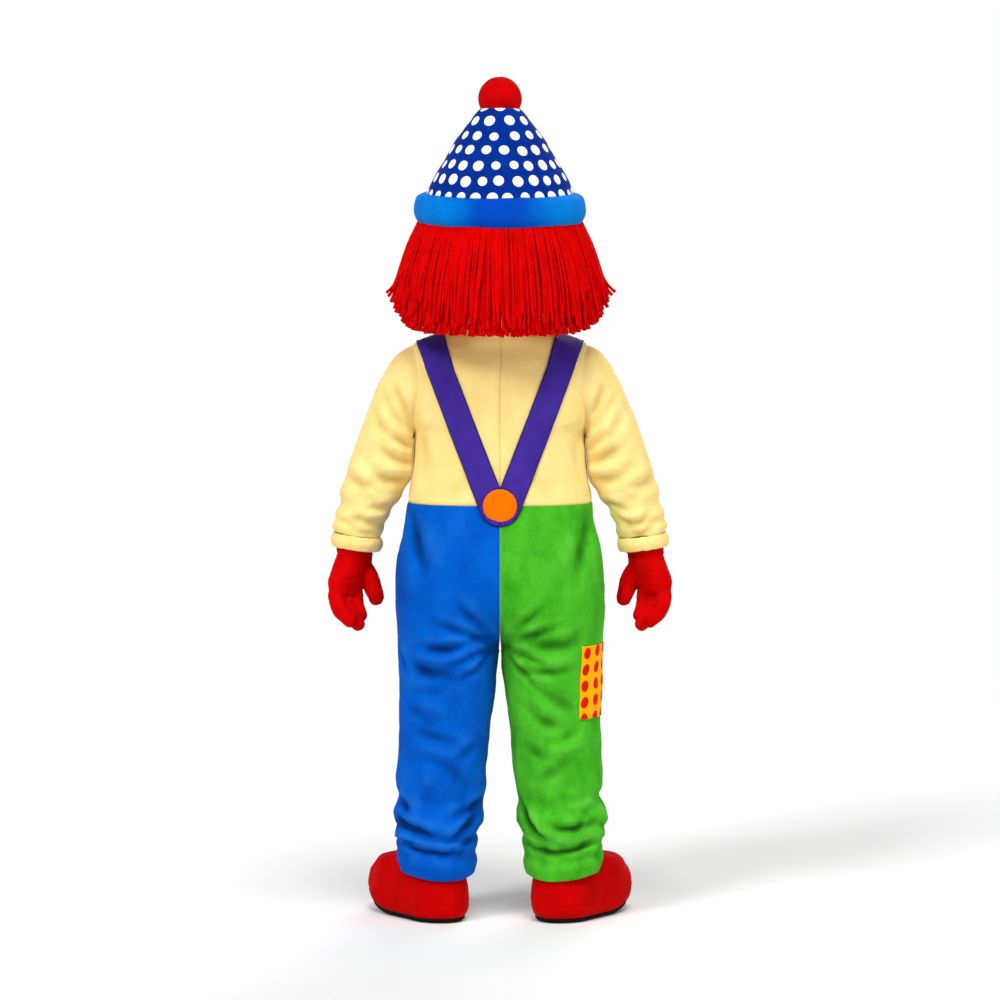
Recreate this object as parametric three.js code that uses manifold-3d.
import * as THREE from "three";
import { mergeVertices } from "three/addons/utils/BufferGeometryUtils.js";
import Module from "manifold-3d";

// A clown mascot costume as it stands when worn, filled out with no wearer in it: a fleece suit with
// a yellow top and one blue and one green leg, purple braces, mitten-like gloves, big soft shoes, and
// a hollow head with a yarn wig and a dotted cone hat.
// Millimetres. +Z is up, +Y is the way the wearer faces, +X is the wearer's right.
// The tables give heights above a level just over the floor. The whole is lowered at the end, so that
// the origin lies between the tops of the wearer's shoulders, which carry the costume.

const FLOOR_HEIGHT = -6;
const NECK_HEIGHT = 1486;
const WAIST_HEIGHT = 1048;

const SEAM = 0.3;
const TOP_EDGE = WAIST_HEIGHT + SEAM / 2;
const LEG_EDGE = WAIST_HEIGHT - SEAM / 2;
const CLOTH = 3;
const STRAP_CLOTH = 3;
const PATCH_CLOTH = 2;
const GLOVE_CLOTH = 2.5;
const SHOE_WALL = 6;
const CUFF_WALL = 8;
const HAT_FELT = 3;
const HEAD_WALL = 8;

const BOXY = 0.8;
const QUARTER_STEPS = 6;
const LEFT = -1;
const RIGHT = 1;
const BACK = -1;
const FRONT = 1;

// The suit top from waist seam to neckline. x, y, z: the row's outer end, which is the side seam
// where y is 0, then the armhole's edge, then the shoulder seam. back and front: the depth at the
// centre, with the height there.
const TORSO = [
  { x: 230, y: 0, z: TOP_EDGE, back: 150, backZ: TOP_EDGE, front: 168, frontZ: TOP_EDGE },
  { x: 225, y: 0, z: 1075, back: 149, backZ: 1075, front: 171, frontZ: 1075 },
  { x: 218, y: 0, z: 1123, back: 146, backZ: 1123, front: 170, frontZ: 1123 },
  { x: 214.5, y: 0, z: 1173, back: 145, backZ: 1173, front: 163, frontZ: 1173 },
  { x: 212, y: 0, z: 1213, back: 144, backZ: 1216, front: 156, frontZ: 1216 },
  { x: 212, y: 51, z: 1253, back: 143, backZ: 1258, front: 151, frontZ: 1258 },
  { x: 212, y: 67, z: 1313, back: 140, backZ: 1310, front: 145, frontZ: 1310 },
  { x: 212, y: 63, z: 1373, back: 133, backZ: 1358, front: 137, frontZ: 1358 },
  { x: 212, y: 40, z: 1423, back: 124, backZ: 1401, front: 128, frontZ: 1403 },
  { x: 212, y: 0, z: 1445, back: 118, backZ: 1427, front: 121, frontZ: 1431 },
  { x: 178, y: 0, z: 1457, back: 113, backZ: 1447, front: 116, frontZ: 1453 },
  { x: 144, y: 0, z: 1468, back: 109, backZ: 1461, front: 111, frontZ: 1471 },
  { x: 113, y: 0, z: 1476, back: 109, backZ: 1469, front: 110, frontZ: 1483 },
  { x: 106.8, y: 0, z: NECK_HEIGHT, back: 106.5, backZ: 1479.1, front: 106.5, frontZ: 1492.9 },
];

// The suit legs from waist seam to hem. outer and inner: the row's reach from the costume's middle.
// split: 0 where both legs are one ring, 1 where each leg has its own. lift: how much higher the row
// is towards the toes. The rows from z 330 down are the rolls that the spare length makes.
const LEGS = [
  { z: LEG_EDGE, outer: 230, inner: 0, back: 150, front: 168, split: 0, lift: 0, lean: 0 },
  { z: 1013, outer: 234, inner: 0, back: 154, front: 168, split: 0, lift: 0, lean: 0 },
  { z: 975, outer: 241, inner: 0, back: 161, front: 166, split: 0, lift: 0, lean: 0 },
  { z: 911, outer: 254, inner: 0, back: 170, front: 163, split: 0, lift: 0, lean: 0 },
  { z: 840, outer: 262, inner: 0, back: 175, front: 157, split: 0.04, lift: 0, lean: 0 },
  { z: 775, outer: 262, inner: 0, back: 171, front: 149, split: 0.18, lift: 0, lean: 0 },
  { z: 730, outer: 259, inner: 0, back: 159, front: 141, split: 0.45, lift: 0, lean: 0 },
  { z: 692, outer: 257, inner: 0.5, back: 143, front: 133, split: 0.82, lift: 0, lean: 0 },
  { z: 668, outer: 257, inner: 2, back: 135, front: 128, split: 1, lift: 0, lean: 0 },
  { z: 600, outer: 255, inner: 8, back: 125, front: 122, split: 1, lift: 0, lean: 0 },
  { z: 500, outer: 253, inner: 21, back: 118, front: 117, split: 1, lift: 0, lean: 0 },
  { z: 400, outer: 256, inner: 31, back: 116, front: 114, split: 1, lift: 0, lean: 0 },
  { z: 354, outer: 260, inner: 35, back: 115, front: 113, split: 1, lift: 0, lean: 2 },
  { z: 326, outer: 258, inner: 39, back: 110, front: 108, split: 1, lift: 2, lean: 7 },
  { z: 300, outer: 251, inner: 47, back: 103, front: 103, split: 1, lift: 5, lean: 9 },
  { z: 265, outer: 265, inner: 42, back: 112, front: 112, split: 1, lift: 10, lean: 5 },
  { z: 233, outer: 266, inner: 44, back: 113, front: 113, split: 1, lift: 18, lean: -3 },
  { z: 210, outer: 254, inner: 60, back: 98, front: 98, split: 1, lift: 24, lean: -6 },
  { z: 188, outer: 263, inner: 55, back: 105, front: 105, split: 1, lift: 29, lean: -3 },
  { z: 166, outer: 257, inner: 62, back: 98, front: 98, split: 1, lift: 34, lean: 3 },
  { z: 147, outer: 261, inner: 58, back: 103, front: 100, split: 1, lift: 37, lean: 3 },
  { z: 117, outer: 250, inner: 64, back: 94, front: 92, split: 1, lift: 40, lean: 0 },
];

// The left or right sleeve from armhole to hem. Each ring passes through an inner and an outer point
// of the outline seen from behind; deep is its half depth and y its middle.
const SLEEVE = [
  { inX: 212.3, inZ: 1213, outX: 212.3, outZ: 1445, deep: 68, y: 0 },
  { inX: 214.5, inZ: 1208, outX: 262, outZ: 1409, deep: 74, y: 0 },
  { inX: 217, inZ: 1201, outX: 298, outZ: 1350, deep: 77, y: 0 },
  { inX: 218, inZ: 1193, outX: 317, outZ: 1305, deep: 78, y: 1 },
  { inX: 219, inZ: 1181, outX: 336, outZ: 1259, deep: 78, y: 2 },
  { inX: 220.5, inZ: 1159, outX: 352, outZ: 1213, deep: 76, y: 3 },
  { inX: 223, inZ: 1131, outX: 366, outZ: 1173, deep: 74, y: 4 },
  { inX: 230, inZ: 1099, outX: 380, outZ: 1133, deep: 73, y: 5 },
  { inX: 244, inZ: 1071, outX: 389, outZ: 1099, deep: 69, y: 6 },
  { inX: 255, inZ: 1049, outX: 399, outZ: 1073, deep: 70, y: 7 },
  { inX: 274, inZ: 1027, outX: 399, outZ: 1043, deep: 63, y: 8 },
  { inX: 278, inZ: 1009, outX: 411, outZ: 1021, deep: 67, y: 8 },
  { inX: 291, inZ: 989, outX: 411, outZ: 1003, deep: 60, y: 9 },
  { inX: 293, inZ: 971, outX: 419, outZ: 987, deep: 63, y: 10 },
  { inX: 299, inZ: 955, outX: 414, outZ: 970, deep: 58, y: 10 },
];

// The turned-up cuff band below the sleeve's hem, in the sleeve's terms, with how far each ring's
// wall reaches inwards.
const CUFF = [
  { inX: 297, inZ: 954.4, outX: 417, outZ: 970, deep: 60, y: 10, wall: 4 },
  { inX: 293.5, inZ: 945, outX: 422, outZ: 962, deep: 64, y: 10, wall: CUFF_WALL },
  { inX: 295, inZ: 931, outX: 423.5, outZ: 949, deep: 64.5, y: 10, wall: CUFF_WALL },
  { inX: 302, inZ: 920, outX: 419, outZ: 936, deep: 59, y: 10, wall: 4 },
];
const SLEEVE_STEPS = 12;

// The glove's hand, from the gauntlet inside the cuff to the knuckles, and its fingers and thumb as
// tubes through centres with radii. The hand's wide way is turned, so that the palm faces inwards
// and backwards.
const PALM_TURN = THREE.MathUtils.degToRad(45);
const PALM = [
  { x: 358, y: 10, z: 948.5, wide: 53.6, thick: 53.6 },
  { x: 361, y: 10, z: 930.5, wide: 50, thick: 47 },
  { x: 364, y: 9, z: 912.5, wide: 50, thick: 42 },
  { x: 372, y: 7, z: 880.5, wide: 54, thick: 42 },
  { x: 384, y: 2, z: 848.5, wide: 54, thick: 38 },
  { x: 388, y: -3, z: 818.5, wide: 48, thick: 26 },
];
const FINGERS = [
  [{ x: 408, y: -20, z: 840, r: 16 }, { x: 409, y: -25, z: 810, r: 20.5 }, { x: 396, y: -42, z: 774, r: 20 }, { x: 374, y: -52, z: 753, r: 18 }],
  [{ x: 386, y: 0, z: 840, r: 16 }, { x: 386, y: -4, z: 808, r: 20.5 }, { x: 373, y: -23, z: 768, r: 20 }, { x: 354, y: -36, z: 743, r: 18 }],
  [{ x: 366, y: 20, z: 840, r: 16 }, { x: 363, y: 14, z: 812, r: 20 }, { x: 358, y: -2, z: 782, r: 19.5 }, { x: 350, y: -12, z: 762, r: 18 }],
  [{ x: 344, y: 12, z: 884, r: 22 }, { x: 329, y: 12, z: 857, r: 25 }, { x: 317, y: 8, z: 824, r: 22.5 }, { x: 311, y: 4, z: 805, r: 20.5 }],
];
const FINGER_SIDES = 6;

// The shoe upper in level rings about the ankle, from the sole to the collar. toe and heel: the
// reach ahead and behind; half: half the width.
const ANKLE = { x: 163, y: -12 };
const TOE_OUT = THREE.MathUtils.degToRad(38);
const TOE_SPREAD = 0.12;
const TOE_BOXY = 0.75;
const WAIST_NIP = 0.06;
const SHOE_STEPS = 15;
const SOLE_THICK = 18;
const SOLE_INSET = 5;
const SHOE = [
  { z: FLOOR_HEIGHT + SOLE_THICK + SEAM, toe: 222, heel: 88, half: 77 },
  { z: 31, toe: 232, heel: 94, half: 84 },
  { z: 64, toe: 233, heel: 95, half: 84 },
  { z: 98, toe: 222, heel: 88, half: 80 },
  { z: 114, toe: 213, heel: 81, half: 76 },
  { z: 129, toe: 199, heel: 77, half: 72 },
  { z: 143, toe: 168, heel: 75, half: 69 },
  { z: 153, toe: 124, heel: 74, half: 65 },
  { z: 182, toe: 84, heel: 71, half: 61 },
];

// The head group stands on the neckline and leans back, so its heights are above the neckline.
const HEAD_TILT = THREE.MathUtils.degToRad(3.7);
const HEAD = { radius: 213, high: 194, centre: 168 };
const HEAD_STEPS = 20;
const HEAD_ROWS = 8;
const EYE = { x: 66, z: 184, wide: 32, high: 44 };
const PUPIL = { x: 60, z: 176, wide: 14, high: 19 };
const NOSE = { z: 126, radius: 34, out: 18 };
const MOUTH = { z: 92, half: 80, drop: 34, lip: 13 };

const BRIM = [
  { r: 186, z: 258 },
  { r: 208, z: 258 },
  { r: 214, z: 272 },
  { r: 214, z: 307 },
  { r: 207, z: 324 },
  { r: 193, z: 330 },
  { r: 166, z: 330 },
  { r: 140, z: 320 },
];
const CONE = [
  { r: 182, z: 330 + SEAM },
  { r: 166, z: 366 },
  { r: 148, z: 399 },
  { r: 118, z: 450 },
  { r: 85, z: 494 },
  { r: 45, z: 538 },
  { r: 22, z: 549 },
  { r: 0, z: 553 },
];
const POMPOM = { y: 0, z: 563, radius: 54.5 };

// The yarn locks: two curtains, staggered, round the head from temple to temple. r and z: a lock's
// path from the backing strip under the brim to its cut end.
const WIG_ARC = THREE.MathUtils.degToRad(250);
const LOCKS_A_CURTAIN = 48;
const STRIP = { low: 244, high: 256.5, lowRadius: 210, highRadius: 204 };
const CURTAINS = [
  { shift: 0, path: [{ r: 209, z: 250 }, { r: 228, z: 203 }, { r: 256, z: 111 }, { r: 262, z: 11 }] },
  { shift: 0.5, path: [{ r: 202, z: 250 }, { r: 236, z: 160 }, { r: 251, z: 3 }] },
];
const LOCK_THICK = 7;
const LOCK_FILL = 0.74;
const FACE_END_RISE = 36;

// The braces in outline, seen from behind and from the front, and the buttons on them.
const TAB = { z: WAIST_HEIGHT + 1, radius: 52 };
const STRAP_TOP = { inner: 148, outer: 207, z: 1449 };
const STRAP_VEE = 1093;
const STRAP_FRONT = { inner: 94, outer: 153, z: 1025 };
const BUTTON = { radius: 42, thick: 7, lean: 0.1 };
const FRONT_BUTTON = { radius: 22, thick: 6 };
const PATCH = { x: 205, bottom: 503, top: 686, back: -140, front: 52 };

const COLOURS = {
  yellow: "#f7e08a",
  blue: "#0a5fd0",
  green: "#45ad2e",
  purple: "#38208a",
  orange: "#ff7400",
  patch: "#ffb400",
  red: "#d40808",
  yarn: "#e00000",
  navy: "#0a3a9c",
  brim: "#0872d8",
  sole: "#141414",
  face: "#f6d7b8",
  white: "#f5f5f2",
  black: "#101010",
};

const wasm = await Module();
wasm.setup();
const costume = new THREE.Group();
const headGroup = new THREE.Group();

function add(name, solid, colour, roughness = 0.9, parent = costume) {
  const geometry = solid.isBufferGeometry ? solid : geometryOf(solid);
  const material = new THREE.MeshStandardMaterial({ color: COLOURS[colour], roughness, metalness: 0 });
  const mesh = new THREE.Mesh(geometry, material);
  mesh.name = name;
  parent.add(mesh);
}

// A closed geometry from points and triangles, with its faces turned out.
function closedGeometry(points, triangles) {
  const loose = new THREE.BufferGeometry();
  loose.setAttribute("position", new THREE.Float32BufferAttribute(points.flatMap((p) => [p.x, p.y, p.z]), 3));
  loose.setIndex(triangles);
  const merged = mergeVertices(loose, 1e-3);
  const at = merged.getAttribute("position");
  const corner = (i) => new THREE.Vector3().fromBufferAttribute(at, i);
  const kept = [];
  let volume = 0;
  for (let i = 0; i < merged.index.count; i += 3) {
    const [a, b, c] = [0, 1, 2].map((k) => merged.index.getX(i + k));
    if (a === b || b === c || c === a) continue;
    kept.push(a, b, c);
    volume += corner(a).dot(corner(b).cross(corner(c)));
  }
  if (volume < 0) kept.reverse();
  merged.setIndex(kept);
  return merged;
}

function solidOf(geometry) {
  const bare = new THREE.BufferGeometry().setAttribute("position", geometry.getAttribute("position"));
  bare.setIndex(geometry.index);
  const merged = mergeVertices(bare, 1e-3);
  const vertProperties = new Float32Array(merged.getAttribute("position").array);
  const triVerts = new Uint32Array(merged.index.array);
  return new wasm.Manifold(new wasm.Mesh({ numProp: 3, vertProperties, triVerts }));
}

function geometryOf(solid) {
  const mesh = solid.getMesh();
  const geometry = new THREE.BufferGeometry();
  geometry.setAttribute("position", new THREE.BufferAttribute(mesh.vertProperties, 3));
  geometry.setIndex(new THREE.BufferAttribute(mesh.triVerts, 1));
  return geometry;
}

// A wall between two grids of points of the same size. Rows run up, columns run across; the columns
// of a ring close on themselves.
function wall(outer, inner, ring) {
  const [rows, columns] = [outer.length, outer[0].length];
  const points = [...outer.flat(), ...inner.flat()];
  const layer = rows * columns;
  const triangles = [];
  const at = (side, i, j) => side * layer + i * columns + (j % columns);
  const face = (a, b, c, d) => triangles.push(a, b, c, a, c, d);
  const across = ring ? columns : columns - 1;
  for (let i = 0; i < rows - 1; i++)
    for (let j = 0; j < across; j++) {
      face(at(0, i, j), at(0, i, j + 1), at(0, i + 1, j + 1), at(0, i + 1, j));
      face(at(1, i, j), at(1, i + 1, j), at(1, i + 1, j + 1), at(1, i, j + 1));
    }
  for (let j = 0; j < across; j++) {
    face(at(1, 0, j), at(1, 0, j + 1), at(0, 0, j + 1), at(0, 0, j));
    face(at(0, rows - 1, j), at(0, rows - 1, j + 1), at(1, rows - 1, j + 1), at(1, rows - 1, j));
  }
  for (let i = 0; !ring && i < rows - 1; i++) {
    face(at(0, i, 0), at(0, i + 1, 0), at(1, i + 1, 0), at(1, i, 0));
    face(at(1, i, across), at(1, i + 1, across), at(0, i + 1, across), at(0, i, across));
  }
  return closedGeometry(points, triangles);
}

// A filled tube through rings of points, closed at both ends.
function loft(rings) {
  const sides = rings[0].length;
  const points = rings.flat();
  const middle = (ring) => ring.reduce((sum, p) => sum.add(p), new THREE.Vector3()).divideScalar(sides);
  points.push(middle(rings[0]), middle(rings.at(-1)));
  const triangles = [];
  for (let j = 0; j < sides; j++) {
    const next = (j + 1) % sides;
    for (let i = 0; i < rings.length - 1; i++) {
      const [a, b] = [i * sides, (i + 1) * sides];
      triangles.push(a + j, a + next, b + next, a + j, b + next, b + j);
    }
    const last = (rings.length - 1) * sides;
    triangles.push(points.length - 2, next, j, points.length - 1, last + j, last + next);
  }
  return closedGeometry(points, triangles);
}

// The grid moved along its normals, outwards where offset is above 0. inside is a function giving a
// point inside the piece at each row, which tells which way is out.
function moved(grid, offset, ring, inside) {
  const [rows, columns] = [grid.length, grid[0].length];
  return grid.map((row, i) =>
    row.map((p, j) => {
      const before = ring ? row[(j + columns - 1) % columns] : row[Math.max(j - 1, 0)];
      const after = ring ? row[(j + 1) % columns] : row[Math.min(j + 1, columns - 1)];
      const along = new THREE.Vector3().subVectors(after, before);
      const up = new THREE.Vector3().subVectors(grid[Math.min(i + 1, rows - 1)][j], grid[Math.max(i - 1, 0)][j]);
      const normal = along.cross(up).normalize();
      if (normal.dot(new THREE.Vector3().subVectors(p, inside(i))) < 0) normal.negate();
      return p.clone().addScaledVector(normal, offset);
    }),
  );
}

// A row of points from the side seam to the centre. The body is boxy at the waist and round at the
// neck.
function torsoRow(row, side, facing) {
  const [depth, centreZ] = facing === BACK ? [row.back, row.backZ] : [row.front, row.frontZ];
  const power = THREE.MathUtils.mapLinear(row.z, WAIST_HEIGHT, NECK_HEIGHT, BOXY, 1);
  return quarter((cosine, sine) => {
    const [c, s] = [cosine ** power, sine ** power];
    return new THREE.Vector3(side * row.x * c, facing * (row.y + (depth - row.y) * s), row.z + (centreZ - row.z) * s);
  });
}

function legRow(row, side, facing) {
  const depth = facing === BACK ? row.back : row.front;
  const [middle, half] = [(row.outer + row.inner) / 2, (row.outer - row.inner) / 2];
  return quarter((c, s, angle) => {
    const x = THREE.MathUtils.lerp(row.outer * c ** BOXY, middle + half * Math.cos(2 * angle), row.split);
    const y = facing * depth * THREE.MathUtils.lerp(s ** BOXY, Math.sin(2 * angle), row.split);
    // Towards the toes a row rides up; at the back it dips a third as far.
    const ahead = ((x - middle) * Math.sin(TOE_OUT / 2) + y * Math.cos(TOE_OUT / 2)) / half;
    const ride = row.lift * ahead * Math.abs(ahead) * (ahead > 0 ? 1 : 0.33);
    const height = row.z + ride + (row.lean * (x - middle)) / half;
    return new THREE.Vector3(side * x, y + seamLine(row), height);
  });
}

// Where the side seam and inseam lie in a row: a leg's middle moves back towards the ankle.
function seamLine(row) {
  return ANKLE.y * row.split * (1 - row.z / WAIST_HEIGHT);
}

function quarter(point) {
  return Array.from({ length: QUARTER_STEPS + 1 }, (_, k) => {
    const angle = (k / QUARTER_STEPS) * (Math.PI / 2);
    return point(Math.max(Math.cos(angle), 0), Math.sin(angle), angle);
  });
}

// One side's grid. Both run the same way round the body: the left from centre front by the side to
// centre back, the right from centre back by the side to centre front.
function halfGrid(table, rowOf, side) {
  const [first, second] = side === LEFT ? [FRONT, BACK] : [BACK, FRONT];
  return table.map((row) => [...rowOf(row, side, first).reverse(), ...rowOf(row, side, second)]);
}

// The whole body's grid, from the left side by the centre back and round by the centre front.
function bodyGrid(table, rowOf) {
  return table.map((row) => {
    const [backLeft, backRight] = [rowOf(row, LEFT, BACK), rowOf(row, RIGHT, BACK)];
    const [frontRight, frontLeft] = [rowOf(row, RIGHT, FRONT), rowOf(row, LEFT, FRONT)];
    return [...backLeft, ...backRight.reverse().slice(1), ...frontRight, ...frontLeft.reverse().slice(1)];
  });
}

// Points well inside a piece, one a row: those near the shoulders lie lower, so that up is out.
function insideOf(table, middleX) {
  return (i) => new THREE.Vector3(middleX(table[i]), 0, table[i].z - 60 * Math.max(0, (table[i].z - 1393) / 80));
}

// One panel: the grid's columns from first to last, with the cloth inside them, trimmed where it
// meets the next panel.
function panel(grid, inside, first, last, trim) {
  const under = moved(grid, -CLOTH, false, inside);
  const cut = (rows) => rows.map((row, i) => row.slice(first, last + 1).map((p) => trim(p.clone(), i)));
  return wall(cut(grid), cut(under), false);
}

// Trims to a side of the centre plane, or of neither, and to the back or front of a seam line.
function trimTo(side, facing, lineAt) {
  const half = SEAM / 2;
  return (p, i) => {
    if (side && side * p.x < half) p.x = side * half;
    const line = lineAt(i);
    if (facing * (p.y - line) < half) p.y = line + facing * half;
    return p;
  };
}

function addTop() {
  const steps = QUARTER_STEPS;
  const inside = insideOf(TORSO, () => 0);
  const grid = bodyGrid(TORSO, torsoRow);
  const ends = { left: [0, steps], right: [steps, 2 * steps], front: [2 * steps + 1, 4 * steps + 1] };
  const middle = () => 0;
  add("top_back_left", panel(grid, inside, ...ends.left, trimTo(LEFT, BACK, middle)), "yellow");
  add("top_back_right", panel(grid, inside, ...ends.right, trimTo(RIGHT, BACK, middle)), "yellow");
  add("top_front", panel(grid, inside, ...ends.front, trimTo(0, FRONT, middle)), "yellow");
}

function addLegs() {
  const steps = QUARTER_STEPS;
  const line = (i) => seamLine(LEGS[i]);
  for (const [side, name, colour] of [[LEFT, "left", "blue"], [RIGHT, "right", "green"]]) {
    const grid = halfGrid(LEGS, legRow, side);
    const inside = insideOf(LEGS, (row) => (side * (row.outer + row.inner)) / 2);
    const shoe = shoeSolid(side, SEAM);
    const halves = [panel(grid, inside, 0, steps, trimTo(side, side === LEFT ? FRONT : BACK, line))];
    halves.push(panel(grid, inside, steps + 1, 2 * steps + 1, trimTo(side, side === LEFT ? BACK : FRONT, line)));
    const [back, front] = side === LEFT ? halves.reverse() : halves;
    add(`leg_back_${name}`, solidOf(back).subtract(shoe), colour);
    add(`leg_front_${name}`, solidOf(front).subtract(shoe), colour);
  }
}

// A ring through an inner and an outer point of the outline.
function outlineRing(row, side, inset) {
  const inner = new THREE.Vector2(row.inX, row.inZ);
  const outer = new THREE.Vector2(row.outX, row.outZ);
  const half = outer.clone().sub(inner).multiplyScalar(0.5);
  const middle = inner.clone().add(half);
  const reach = half.length() - inset;
  half.setLength(reach);
  return Array.from({ length: SLEEVE_STEPS }, (_, k) => {
    const angle = (k / SLEEVE_STEPS) * 2 * Math.PI;
    const [c, s] = [Math.cos(angle), Math.sin(angle)];
    return new THREE.Vector3(side * (middle.x + half.x * c), row.y + (row.deep - inset) * s, middle.y + half.y * c);
  });
}

function addSleeves() {
  for (const [side, name] of [[LEFT, "left"], [RIGHT, "right"]]) {
    const outer = SLEEVE.map((row) => outlineRing(row, side, 0));
    const inner = SLEEVE.map((row) => outlineRing(row, side, CLOTH));
    add(`sleeve_${name}`, wall(outer, inner, true), "yellow");
    const band = CUFF.map((row) => outlineRing(row, side, 0));
    const hollow = CUFF.map((row) => outlineRing(row, side, row.wall));
    add(`cuff_${name}`, wall(band, hollow, true), "yellow");
  }
}

// The ball-ended tube through a finger's centres.
function fingerSolid(stations, side, inset) {
  const rings = [];
  const last = stations.at(-1);
  const beyond = stations.at(-2);
  const tipWay = new THREE.Vector3(last.x - beyond.x, last.y - beyond.y, last.z - beyond.z).normalize();
  const tips = [{ ahead: 0.8, size: 0.55 }].map(({ ahead, size }) => ({
    x: last.x + tipWay.x * (last.r - inset) * ahead,
    y: last.y + tipWay.y * (last.r - inset) * ahead,
    z: last.z + tipWay.z * (last.r - inset) * ahead,
    r: (last.r - inset) * size + inset,
  }));
  const all = [...stations, ...tips];
  all.forEach((station, i) => {
    const [before, after] = [all[Math.max(i - 1, 0)], all[Math.min(i + 1, all.length - 1)]];
    const way = new THREE.Vector3(after.x - before.x, after.y - before.y, after.z - before.z).normalize();
    const across = new THREE.Vector3(1, 0, 0).addScaledVector(way, -way.x).normalize();
    const over = new THREE.Vector3().crossVectors(way, across);
    rings.push(Array.from({ length: FINGER_SIDES }, (_, k) => {
      const angle = (k / FINGER_SIDES) * 2 * Math.PI;
      const p = new THREE.Vector3(station.x, station.y, station.z);
      p.addScaledVector(across, (station.r - inset) * Math.cos(angle));
      p.addScaledVector(over, (station.r - inset) * Math.sin(angle));
      p.x *= side;
      return p;
    }));
  });
  return solidOf(loft(rings));
}

function palmSolid(side, inset, wristUp) {
  const rings = PALM.map((row, i) => {
    const closing = i === PALM.length - 1 ? inset : 0;
    return Array.from({ length: SLEEVE_STEPS }, (_, k) => {
      const angle = (k / SLEEVE_STEPS) * 2 * Math.PI;
      const wide = (row.wide - inset) * Math.cos(angle);
      const thick = (row.thick - inset) * Math.sin(angle);
      const x = row.x + wide * Math.cos(PALM_TURN) + thick * Math.sin(PALM_TURN);
      const y = row.y - wide * Math.sin(PALM_TURN) + thick * Math.cos(PALM_TURN);
      return new THREE.Vector3(side * x, y, row.z + (i === 0 ? wristUp : closing));
    });
  });
  return solidOf(loft(rings));
}

function addGloves() {
  const open = 2;
  for (const [side, name] of [[LEFT, "left"], [RIGHT, "right"]]) {
    const hand = (inset, wristUp) =>
      FINGERS.reduce((sum, finger) => sum.add(fingerSolid(finger, side, inset)), palmSolid(side, inset, wristUp));
    add(`glove_${name}`, hand(0, 0).subtract(hand(GLOVE_CLOTH, open)), "red");
  }
}

// A level ring of the shoe, turned out about the ankle.
function shoeRing(row, side, offset) {
  return Array.from({ length: SHOE_STEPS }, (_, k) => {
    const angle = (k / SHOE_STEPS) * 2 * Math.PI;
    const blunt = (value, power) => Math.sign(value) * Math.abs(value) ** power;
    const power = Math.cos(angle) > 0 ? TOE_BOXY : 1;
    const [c, s] = [blunt(Math.cos(angle), power), blunt(Math.sin(angle), power)];
    const long = Math.min(1, (row.toe - row.heel) / 100);
    const nip = 1 - WAIST_NIP * long * Math.max(0, 1 - ((c - 0.15) / 0.4) ** 2);
    const x = (row.half + offset) * s * (1 + TOE_SPREAD * c * long) * nip;
    const y = ((c > 0 ? row.toe : row.heel) + offset) * c;
    const [cosine, sine] = [Math.cos(side * TOE_OUT), Math.sin(side * TOE_OUT)];
    return new THREE.Vector3(side * ANKLE.x + x * cosine + y * sine, ANKLE.y - x * sine + y * cosine, row.z);
  });
}

// The shoe's outer form, filled, moved out by offset.
function shoeSolid(side, offset) {
  const lift = SHOE.map((row, i) => ({ ...row, z: row.z + (i > 3 ? offset : 0) }));
  return solidOf(loft(lift.map((row) => shoeRing(row, side, offset))));
}

function addShoes() {
  const floor = SHOE[0].z + SHOE_WALL;
  for (const [side, name] of [[LEFT, "left"], [RIGHT, "right"]]) {
    const hollow = SHOE.map((row, i) => {
      const top = i === SHOE.length - 1;
      const drop = i > 3 && !top ? SHOE_WALL : 0;
      return { ...row, z: i === 0 ? floor : row.z - drop + (top ? 1 : 0) };
    });
    const inside = solidOf(loft(hollow.map((row) => shoeRing(row, side, -SHOE_WALL))));
    add(`shoe_${name}`, shoeSolid(side, 0).subtract(inside), "red");
    const edge = (rise, inset) => shoeRing({ ...SHOE[0], z: FLOOR_HEIGHT + rise }, side, -inset);
    const tread = [edge(0, SOLE_INSET), edge(SOLE_THICK, 1)];
    add(`sole_${name}`, loft(tread), "sole", 0.7);
  }
}

// A flat outline in x and z, drawn out along Y from one depth to another.
function prism(shape, from, to, curveSegments = 16) {
  const geometry = new THREE.ExtrudeGeometry(shape, { depth: to - from, bevelEnabled: false, curveSegments });
  geometry.deleteAttribute("normal");
  geometry.deleteAttribute("uv");
  geometry.rotateX(Math.PI / 2).translate(0, to, 0);
  return solidOf(mergeVertices(geometry, 1e-3));
}

// The body from the hips up as one closed skin, moved out: the braces, their buttons and nothing
// else are made from it.
function skin(offset) {
  const hips = LEGS.slice(1, 4).reverse();
  const rows = [...bodyGrid(hips, legRow), ...bodyGrid(TORSO, torsoRow)];
  const table = [...hips, ...TORSO];
  return moved(rows, offset, true, insideOf(table, () => 0));
}

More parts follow.
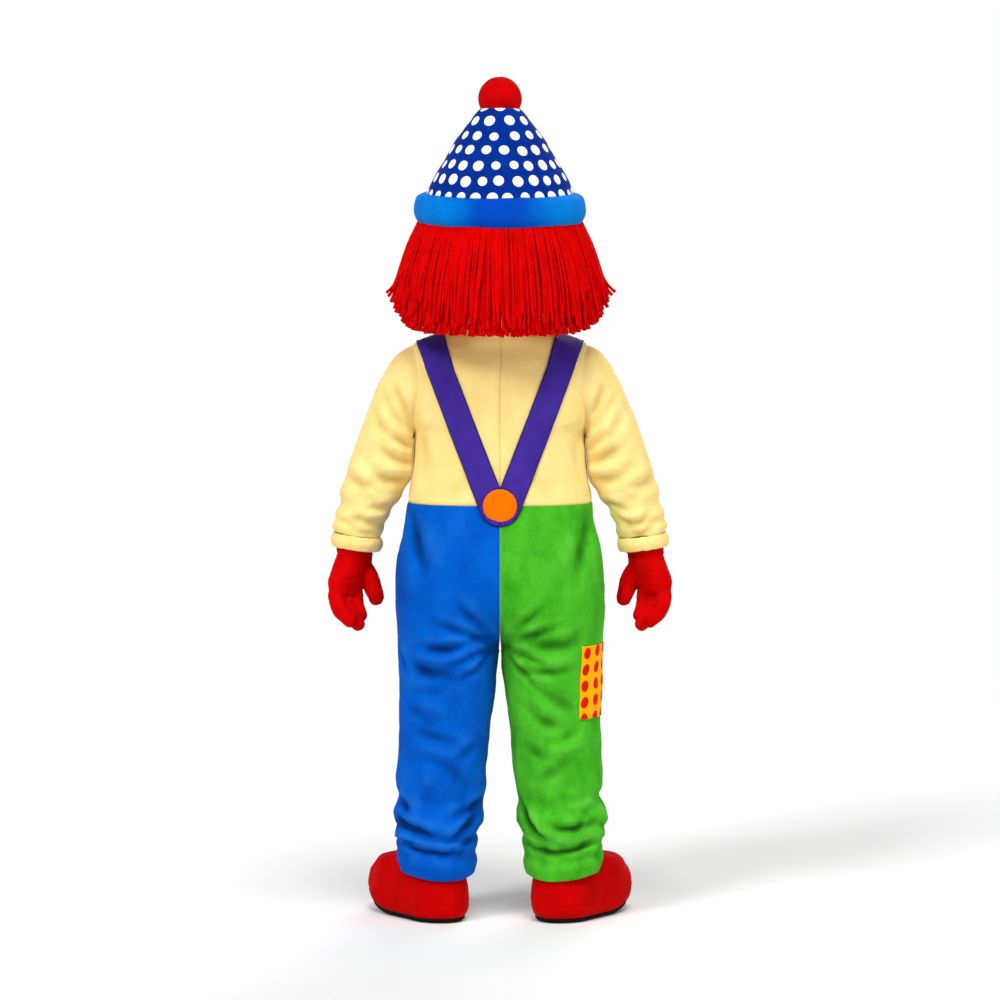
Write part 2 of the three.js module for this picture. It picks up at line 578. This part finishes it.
function strapShapes(side) {
  const steps = 8;
  const cap = NECK_HEIGHT + 40;
  const back = new THREE.Shape();
  back.moveTo((side * SEAM) / 2, STRAP_VEE);
  back.lineTo(side * STRAP_TOP.inner, STRAP_TOP.z);
  back.lineTo(side * STRAP_TOP.inner, cap);
  back.lineTo(side * STRAP_TOP.outer, cap);
  back.lineTo(side * STRAP_TOP.outer, STRAP_TOP.z);
  // The outer edge runs down to touch the tab's circle. Angles are from straight up.
  const rise = new THREE.Vector2(STRAP_TOP.outer, STRAP_TOP.z - TAB.z);
  const touch = Math.atan2(rise.x, rise.y) + Math.acos(TAB.radius / rise.length());
  const low = Math.PI - SEAM / 2 / TAB.radius;
  for (let k = 0; k <= steps; k++) {
    const angle = THREE.MathUtils.lerp(touch, low, k / steps);
    back.lineTo(side * TAB.radius * Math.sin(angle), TAB.z + TAB.radius * Math.cos(angle));
  }
  const front = new THREE.Shape();
  front.moveTo(side * STRAP_TOP.inner, cap);
  front.lineTo(side * STRAP_TOP.outer, cap);
  front.lineTo(side * STRAP_TOP.outer, STRAP_TOP.z);
  const middle = (STRAP_FRONT.inner + STRAP_FRONT.outer) / 2;
  const end = STRAP_FRONT.outer - middle;
  for (let k = 0; k <= steps; k++) {
    const angle = (Math.PI * k) / steps;
    front.lineTo(side * (middle + end * Math.cos(angle)), STRAP_FRONT.z - end * Math.sin(angle));
  }
  front.lineTo(side * STRAP_TOP.inner, STRAP_TOP.z);
  return { back, front };
}

function addBraces() {
  const cloth = solidOf(wall(skin(SEAM + STRAP_CLOTH), skin(SEAM), true));
  const under = solidOf(loft(skin(2 * SEAM + STRAP_CLOTH)));
  const reach = 260;
  for (const [side, name] of [[LEFT, "left"], [RIGHT, "right"]]) {
    const { back, front } = strapShapes(side);
    const outline = prism(back, -reach, 0).add(prism(front, 0, reach));
    add(`strap_${name}`, cloth.intersect(outline), "purple", 0.6);
    const x = (side * (STRAP_FRONT.inner + STRAP_FRONT.outer)) / 2;
    const button = disc(FRONT_BUTTON, x, 163, STRAP_FRONT.z + 2, FRONT);
    add(`button_front_${name}`, button.subtract(under), "orange", 0.5);
  }
  add("button_back", disc(BUTTON, 0, -148, TAB.z, BACK).subtract(under), "orange", 0.5);
}

// A round button with a softened edge, standing along Y from depth y.
function disc(size, x, y, z, facing) {
  const base = 8;
  const profile = [[0, -base], [size.radius, -base], [size.radius, size.thick - 2], [size.radius - 2, size.thick], [0, size.thick]];
  const lathe = new THREE.LatheGeometry(profile.map(([r, h]) => new THREE.Vector2(r, h)), 20);
  const proud = STRAP_CLOTH + 2 * SEAM;
  lathe.rotateX(facing === BACK ? Math.PI : 0);
  if (size.lean) lathe.rotateX(size.lean);
  lathe.translate(x, y + facing * proud, z);
  return solidOf(cleaned(lathe));
}

// A library geometry as one closed body: shared points merged and empty triangles dropped.
function cleaned(geometry) {
  const at = geometry.getAttribute("position");
  const points = Array.from({ length: at.count }, (_, i) => new THREE.Vector3().fromBufferAttribute(at, i));
  return closedGeometry(points, Array.from(geometry.index.array));
}

function addPatch() {
  const table = LEGS.slice(6, 12);
  const grid = halfGrid(table, legRow, RIGHT);
  const inside = insideOf(table, (row) => (row.outer + row.inner) / 2);
  const layer = (offset) => moved(grid, offset, false, inside);
  const cloth = solidOf(wall(layer(SEAM + PATCH_CLOTH), layer(SEAM), false));
  const shape = new THREE.Shape();
  shape.moveTo(PATCH.x, PATCH.bottom).lineTo(PATCH.x + 100, PATCH.bottom);
  shape.lineTo(PATCH.x + 100, PATCH.top).lineTo(PATCH.x, PATCH.top);
  add("patch", cloth.intersect(prism(shape, PATCH.back, PATCH.front)), "patch");
}

function headRadius(z) {
  return HEAD.radius * Math.sqrt(Math.max(0, 1 - ((z - HEAD.centre) / HEAD.high) ** 2));
}

// The head's form moved out by offset, from its neck rim at the given height to its crown.
function headGrid(offset, bottom = SEAM) {
  const low = Math.acos((bottom - HEAD.centre) / HEAD.high);
  return Array.from({ length: HEAD_ROWS + 1 }, (_, i) => {
    const polar = low * (1 - i / HEAD_ROWS);
    const rise = i === 0 ? 0 : offset * Math.cos(polar);
    return Array.from({ length: HEAD_STEPS }, (_, k) => {
      const angle = ((k + 0.5) / HEAD_STEPS) * 2 * Math.PI;
      const r = HEAD.radius * Math.sin(polar) + offset * Math.sin(polar);
      return new THREE.Vector3(r * Math.cos(angle), r * Math.sin(angle), HEAD.centre + HEAD.high * Math.cos(polar) + rise);
    });
  });
}

function ellipse(x, z, wide, high) {
  return new THREE.Shape().absellipse(x, z, wide, high, 0, 2 * Math.PI);
}

function mouthShape() {
  const shape = new THREE.Shape();
  shape.moveTo(-MOUTH.half, MOUTH.z);
  shape.quadraticCurveTo(0, MOUTH.z - 2 * MOUTH.drop, MOUTH.half, MOUTH.z);
  shape.quadraticCurveTo(0, MOUTH.z - 2 * (MOUTH.drop - MOUTH.lip), -MOUTH.half, MOUTH.z);
  return shape;
}

function addHead() {
  const addPiece = (name, solid, colour, roughness) => add(name, solid, colour, roughness, headGroup);
  addPiece("head_shell", wall(headGrid(0), headGrid(-HEAD_WALL), true), "face");
  const layer = (from, to) => solidOf(wall(headGrid(to), headGrid(from), true));
  const ahead = (shape) => prism(shape, 40, 300, 10);
  const features = layer(SEAM, SEAM + 3);
  for (const [side, name] of [[LEFT, "left"], [RIGHT, "right"]]) {
    const white = ahead(ellipse(side * EYE.x, EYE.z, EYE.wide, EYE.high));
    const pupil = ahead(ellipse(side * PUPIL.x, PUPIL.z, PUPIL.wide, PUPIL.high));
    addPiece(`eye_${name}`, features.intersect(white), "white", 0.4);
    addPiece(`pupil_${name}`, layer(2 * SEAM + 3, 2 * SEAM + 5).intersect(pupil), "black", 0.4);
  }
  addPiece("mouth", features.intersect(ahead(mouthShape())), "red");
  const ball = cleaned(new THREE.SphereGeometry(NOSE.radius, 12, 8));
  ball.translate(0, headRadius(NOSE.z) + NOSE.out, NOSE.z);
  addPiece("nose", solidOf(ball).subtract(solidOf(loft(headGrid(SEAM)))), "red");
}

function spun(profile, steps) {
  return profile.map((point) =>
    Array.from({ length: steps }, (_, k) => {
      const angle = ((k + 0.5) / steps) * 2 * Math.PI;
      return new THREE.Vector3(point.r * Math.cos(angle), point.r * Math.sin(angle), point.z);
    }),
  );
}

function addHat() {
  const addPiece = (name, solid, colour) => add(name, solid, colour, 0.9, headGroup);
  // The brim's section closes on itself, so its first ring is its last too.
  const rings = spun([...BRIM, BRIM[0]], HEAD_STEPS);
  const points = rings.flat();
  const triangles = [];
  for (let i = 0; i < rings.length - 1; i++)
    for (let k = 0; k < HEAD_STEPS; k++) {
      const [a, b] = [i * HEAD_STEPS, (i + 1) * HEAD_STEPS];
      const next = (k + 1) % HEAD_STEPS;
      triangles.push(a + k, a + next, b + next, a + k, b + next, b + k);
    }
  const brim = solidOf(closedGeometry(points, triangles));
  addPiece("hat_brim", brim.subtract(solidOf(loft(headGrid(SEAM)))), "brim");
  const inner = CONE.map(({ r, z }, i) => ({ r: Math.max(0, r - HAT_FELT * 1.1), z: i === 0 ? z : z - HAT_FELT * 0.6 }));
  addPiece("hat_cone", wall(spun(CONE, HEAD_STEPS), spun(inner, HEAD_STEPS), true), "navy");
  const grown = CONE.map(({ r, z }, i) => ({ r: i === CONE.length - 1 ? 0 : r + SEAM, z: z + SEAM }));
  const ball = cleaned(new THREE.SphereGeometry(POMPOM.radius, 14, 8));
  ball.translate(0, POMPOM.y, POMPOM.z);
  addPiece("pompom", solidOf(ball).subtract(solidOf(loft(spun(grown, HEAD_STEPS)))), "red");
}

// A three-sided lock at an angle round the head: its flat side faces out.
function lock(path, angle, width, rise) {
  const way = new THREE.Vector3(Math.cos(angle), Math.sin(angle), 0);
  const side = new THREE.Vector3(-Math.sin(angle), Math.cos(angle), 0);
  const rings = path.map(({ r, z }, i) => {
    const half = (width * r) / 2;
    const height = z + (i === path.length - 1 ? rise : 0);
    const at = (out, across) =>
      new THREE.Vector3(0, 0, height).addScaledVector(way, r + out).addScaledVector(side, across);
    return [at(0, -half), at(0, half), at(-LOCK_THICK, 0)];
  });
  return solidOf(prismThrough(rings));
}

// A prism through three-pointed rings, whose end caps are single triangles.
function prismThrough(rings) {
  const triangles = [];
  for (let i = 0; i < rings.length - 1; i++)
    for (let k = 0; k < 3; k++) {
      const [a, b, next] = [i * 3, (i + 1) * 3, (k + 1) % 3];
      triangles.push(a + k, a + next, b + next, a + k, b + next, b + k);
    }
  const last = (rings.length - 1) * 3;
  triangles.push(0, 2, 1, last, last + 1, last + 2);
  return closedGeometry(rings.flat(), triangles);
}

function addWig() {
  const from = -Math.PI / 2 - WIG_ARC / 2;
  const steps = 30;
  const ring = (r, z) =>
    Array.from({ length: steps + 1 }, (_, k) => {
      const angle = from + (WIG_ARC * k) / steps;
      return new THREE.Vector3(r * Math.cos(angle), r * Math.sin(angle), z);
    });
  const near = (z) => ring(headRadius(z) - 4, z);
  const { low, high, lowRadius, highRadius } = STRIP;
  const strip = wall([ring(lowRadius, low), ring(highRadius, high)], [near(low), near(high)], false);
  const pitch = WIG_ARC / LOCKS_A_CURTAIN;
  const locks = CURTAINS.flatMap(({ shift, path }) =>
    Array.from({ length: LOCKS_A_CURTAIN - 1 }, (_, k) => {
      const angle = from + pitch * (k + 0.5 + shift);
      const towardsFace = Math.abs(angle + Math.PI / 2) / (WIG_ARC / 2);
      const uneven = 5 * Math.sin(k * 2.4 + shift * 5);
      const rise = FACE_END_RISE * THREE.MathUtils.smoothstep(towardsFace, 0.45, 0.8) + uneven;
      return lock(path, angle, pitch * LOCK_FILL, rise);
    }),
  );
  const headSpace = solidOf(loft(headGrid(SEAM)));
  const whole = wasm.Manifold.union([solidOf(strip), ...locks]).subtract(headSpace);
  add("wig", whole, "yarn", 0.95, headGroup);
}

addTop();
addLegs();
addSleeves();
addGloves();
addShoes();
addBraces();
addPatch();
addHead();
addHat();
addWig();

headGroup.position.z = NECK_HEIGHT;
headGroup.rotation.x = HEAD_TILT;
costume.add(headGroup);
costume.position.z = -NECK_HEIGHT;
const root = new THREE.Group();
root.add(costume);

export default root;
